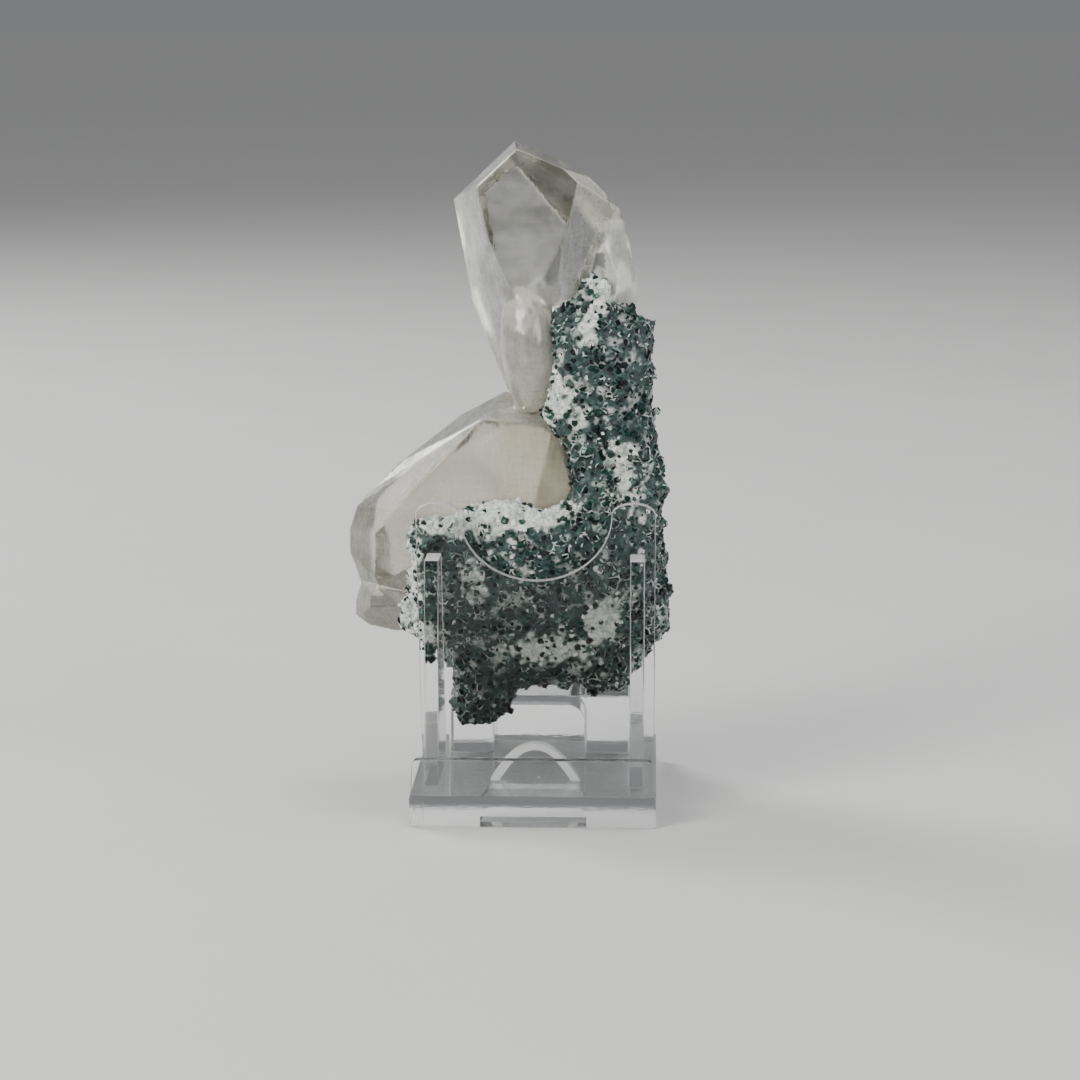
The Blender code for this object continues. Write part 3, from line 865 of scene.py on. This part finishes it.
# %% The crystals' finish
GROWTH_TURN = (0.0, math.radians(-10), 0.0)
ACROSS_TURN = (0.0, math.radians(40), 0.0)
# Grey painted into the clear parts: painted shade, so that the clear window reads darker than the
# pale surroundings
WINDOW_SHADE_GREY = colour(0.74, 0.75, 0.76)
CLEAR = colour(0.96, 0.96, 0.94)
HONEY = colour(0.80, 0.75, 0.62)
MILK_WHITE = colour(0.90, 0.92, 0.91)
CREAM = colour(0.66, 0.61, 0.45)
TINGE = colour(0.84, 0.83, 0.78)
TINGE_FOR_EACH_M = 70.0


def calcite_material():
    """Clear calcite mixed with milky calcite by the painted milk, streaks and wisps."""
    tool, close = new_material("clear_calcite")
    growth = cloud(tool, place_in_mm(tool, (1.0, 1.0, 0.10), GROWTH_TURN), 0.7)
    across = cloud(tool, place_in_mm(tool, (0.12, 1.0, 1.0), ACROSS_TURN), 0.7)
    wisps = cloud(tool, place_in_mm(tool, (1.0, 1.0, 0.35)), 3.0, 5.0, 0.65)
    milk = tool.add("ShaderNodeAttribute", output=2, attribute_name="milk")
    warm = tool.add("ShaderNodeAttribute", output=2, attribute_name="warm")
    streaks = (growth - 0.5) * 0.34 + (across - 0.5) * 0.30
    frost = (milk * (wisps * 1.2 + 0.4) + (milk + 0.12) * streaks * 2.0).clamp()
    normal = bump(tool, growth + across * 0.2, 0.045)
    # Where there is little milk, the clear calcite is tinted grey: painted shade for the clear
    # window
    painted_window_shade = milk.step(0.0, 0.30).mix(WINDOW_SHADE_GREY, CLEAR)
    clear = tool.add(
        "ShaderNodeBsdfPrincipled",
        {
            "Base Color": warm.mix(painted_window_shade, HONEY),
            "Roughness": (frost * 0.22 + 0.02).clamp(),
            "Transmission Weight": 1.0,
            "IOR": MINERAL_IOR,
            "Normal": normal,
        },
    )
    milky = tool.add(
        "ShaderNodeBsdfPrincipled",
        {
            "Base Color": warm.mix(MILK_WHITE, CREAM),
            "Roughness": 0.30,
            "Transmission Weight": 0.60,
            "IOR": MINERAL_IOR,
            "Normal": normal,
        },
    )
    surface = tool.add("ShaderNodeMixShader", {0: frost, 1: clear, 2: milky})
    inputs = {"Color": TINGE, "Density": TINGE_FOR_EACH_M}
    return close(surface, tool.add("ShaderNodeVolumeAbsorption", inputs))


crystals.data.materials.append(calcite_material())
finish_piece(crystals, "calcite_crystals")

# %% [markdown]
# ## The clear stand
# The stand is moulded from clear plastic: crisp but not sharp, with a few scuffs and dusty
# specks, and edges that look lighter than the faces because they gather light. Light paths
# through edges are slow to render well, so a narrow bevel along every sharp edge gets a
# rough, whitened version of the plastic instead, which is painted highlight, and so do the
# little arch and the plate's wavy rim. The wide faces keep little of their mirror shine, so
# that the stone shows behind them.

# %% The stand's finish
PLASTIC_IOR = 1.49
PLASTIC = colour(0.975, 0.985, 0.985)
# Pale grey for the dust specks, and for whitening the edges, which is painted highlight
DUST_AND_EDGE_LIGHT = colour(0.85, 0.85, 0.84)


def plastic_material(name, edge_light_frosting, shine):
    """Clear plastic with scuffs and dusty specks. Frosting whitens it as painted highlight, and
    shine scales its mirror look.
    """
    tool, close = new_material(name)
    where = place_in_mm(tool)
    smudge = cloud(tool, where, 11.0, 4.0, 0.6)
    scuff = cloud(tool, place_in_mm(tool, (0.15, 1.0, 1.0), (0.0, 0.4, 0.0)), 0.5, 2.0)
    specks = 1.0 - flecks(tool, where, 5.0).step(0.025, 0.045)
    # The specks and smudges are dust on the plastic; the frosting added to them is painted
    # highlight along the edges
    frost = (specks * 0.4 + smudge.step(0.55, 0.85) * 0.02 + edge_light_frosting).clamp()
    clear = tool.add(
        "ShaderNodeBsdfPrincipled",
        {
            "Base Color": PLASTIC,
            "Roughness": (smudge.step(0.5, 0.8) * 0.03 + edge_light_frosting * 0.5 + 0.01).clamp(),
            "Transmission Weight": 1.0,
            "IOR": PLASTIC_IOR,
            "Specular IOR Level": shine,
            "Specular Tint": colour(shine, shine, shine),
            "Normal": bump(tool, scuff, 0.01),
        },
    )
    dust_and_edge_light = tool.add("ShaderNodeBsdfPrincipled", {"Base Color": DUST_AND_EDGE_LIGHT, "Roughness": 0.7})
    return close(tool.add("ShaderNodeMixShader", {0: frost, 1: clear, 2: dust_and_edge_light}))


plastic = plastic_material("clear_plastic_faces", edge_light_frosting=0.0, shine=0.2)
# The edges are whitened as painted highlight, for the light that they gather
plastic_edge_light = plastic_material("clear_plastic_edges", edge_light_frosting=0.44, shine=1.0)
print("stand finishes:", plastic.name, plastic_edge_light.name)

# %% The stand's pieces
SMOOTH_UNDER = 30.0
EDGE_LINE = 0.42 * MM
BEVEL_EDGES_FROM = math.radians(35)
PLATE_LEAN = math.radians(16.5)
PLATE_NORMAL = Vector((0.0, -math.cos(PLATE_LEAN), -math.sin(PLATE_LEAN)))


def on_arch(face):
    """Whether a face is on the little arch on the slab, which gets the whitened edge finish all
    over, as painted highlight.
    """
    x, y, z = (c / MM for c in face.center)
    return z > 6.9 and abs(x) < 14.0 and -17.0 < y < -8.0


def on_wavy_rim(face):
    """Whether a face is on the plate's top edge, along its ears and dip."""
    across = abs(face.normal.dot(PLATE_NORMAL)) < 0.5 and abs(face.normal.x) < 0.99
    return across and face.center.z > 50 * MM


def light_edges(piece):
    """A narrow rounding along every sharp edge, with the whitened edge finish on it: painted
    highlight.
    """
    edge = piece.modifiers.new("Edges", "BEVEL")
    edge.width = EDGE_LINE
    edge.segments = 2
    edge.limit_method = "ANGLE"
    edge.angle_limit = BEVEL_EDGES_FROM
    edge.harden_normals = True
    edge.material = 1
    flat = piece.modifiers.new("Flat faces", "WEIGHTED_NORMAL")
    flat.keep_sharp = True
    flat.weight = 100
    freeze(piece)


for node, name, edge_light_faces in (
    ("stand_base", "clear_base", on_arch),
    ("stand_back", "clear_back", on_wavy_rim),
    ("stand_cradle", "clear_cradle", None),
):
    piece = merged_copy(node, name)
    piece.data.materials.append(plastic)
    piece.data.materials.append(plastic_edge_light)
    smooth(piece, SMOOTH_UNDER)
    light_edges(piece)
    # The arch and the wavy rim get the whitened edge finish as well: painted highlight
    for face in piece.data.polygons:
        if edge_light_faces and edge_light_faces(face):
            face.material_index = 1
    finish_piece(piece, node)

# %% [markdown]
# ## Floor, light and camera
# A plain pale floor and soft light keep the eye on the specimen. Clear things show what is
# around them, so the light matters more than usual here: broad soft lights at both sides,
# behind and above draw the edges, and a dim world keeps the crystals from washing out. The
# camera stands where the photographer's did, about 0.7 m away and looking down 9.5 degrees.

# %% Floor
FLOOR_SIDE = 80.0
# Without a thin layer of air, the base's underside would turn dark where it meets the floor
AIR_GAP = 0.04 * MM


def floor_material():
    """A matt pale grey, very slightly uneven."""
    tool, close = new_material("pale_floor")
    where = place_in_mm(tool)
    tone = cloud(tool, where, 60.0, 2.0)
    surface = tool.add(
        "ShaderNodeBsdfPrincipled",
        {
            "Base Color": tone.mix(colour(0.60, 0.60, 0.59), colour(0.64, 0.64, 0.63)),
            "Roughness": 0.55,
        },
    )
    return close(surface)


bm = bmesh.new()
bmesh.ops.create_grid(bm, x_segments=8, y_segments=8, size=FLOOR_SIDE / 2)
bmesh.ops.translate(bm, verts=bm.verts, vec=(0.0, 0.0, -AIR_GAP))
floor_mesh = bpy.data.meshes.new("floor")
bm.to_mesh(floor_mesh)
bm.free()
floor_mesh.materials.append(floor_material())
floor = bpy.data.objects.new("floor", floor_mesh)
bpy.context.scene.collection.objects.link(floor)
print("floor", FLOOR_SIDE, "m wide")

# %% Lights and world
def soft_light(name, place, aim, side, watts, tint=(1.0, 1.0, 1.0)):
    """A square soft light, aimed at a point."""
    light = bpy.data.lights.new(name, "AREA")
    light.shape = "SQUARE"
    light.size = side
    light.energy = watts
    light.color = tint
    lamp = bpy.data.objects.new(name, light)
    lamp.location = place
    lamp.rotation_euler = (Vector(aim) - Vector(place)).to_track_quat("-Z", "Y").to_euler()
    bpy.context.scene.collection.objects.link(lamp)


MIDDLE = (0.0, 0.0, 0.075)
soft_light("key", (-1.05, -1.05, 0.85), MIDDLE, 0.75, 27.0, (1.0, 0.98, 0.95))
soft_light("fill", (1.25, -0.85, 0.50), MIDDLE, 0.75, 12.0, (0.95, 0.98, 1.0))
soft_light("rim", (-0.98, 0.80, 0.98), MIDDLE, 0.60, 20.0)
soft_light("top", (0.40, 0.15, 1.45), MIDDLE, 0.60, 8.0)

# A faint far light evens out the floor, so that no line shows where it meets the distance
far_light = bpy.data.lights.new("far", "SUN")
far_light.energy = 0.5
far_light.angle = math.radians(60)
far_lamp = bpy.data.objects.new("far", far_light)
far_lamp.rotation_euler = (math.radians(30), math.radians(-20), 0.0)
bpy.context.scene.collection.objects.link(far_lamp)

world = bpy.data.worlds.new("studio")
world.use_nodes = True
backdrop = world.node_tree.nodes["Background"].inputs
backdrop["Color"].default_value = colour(0.205, 0.207, 0.212)
backdrop["Strength"].default_value = 1.0
bpy.context.scene.world = world
print("four soft lights and a faint far one")

# %% Camera
CAMERA_PLACE = Vector((0.02495, -0.69798, 0.17568))
CAMERA_AIM = Vector((0.00085, -0.00800, 0.06015))
LENS_MM = 103.94
SENSOR_MM = 36.0

camera_data = bpy.data.cameras.new("camera")
camera_data.sensor_fit = "HORIZONTAL"
camera_data.sensor_width = SENSOR_MM
camera_data.lens = LENS_MM
camera_data.clip_start = 0.01
camera = bpy.data.objects.new("camera", camera_data)
camera.location = CAMERA_PLACE
camera.rotation_euler = (CAMERA_AIM - CAMERA_PLACE).to_track_quat("-Z", "Y").to_euler()
bpy.context.scene.collection.objects.link(camera)
bpy.context.scene.camera = camera
print("camera", round((CAMERA_AIM - CAMERA_PLACE).length, 3), "m away")
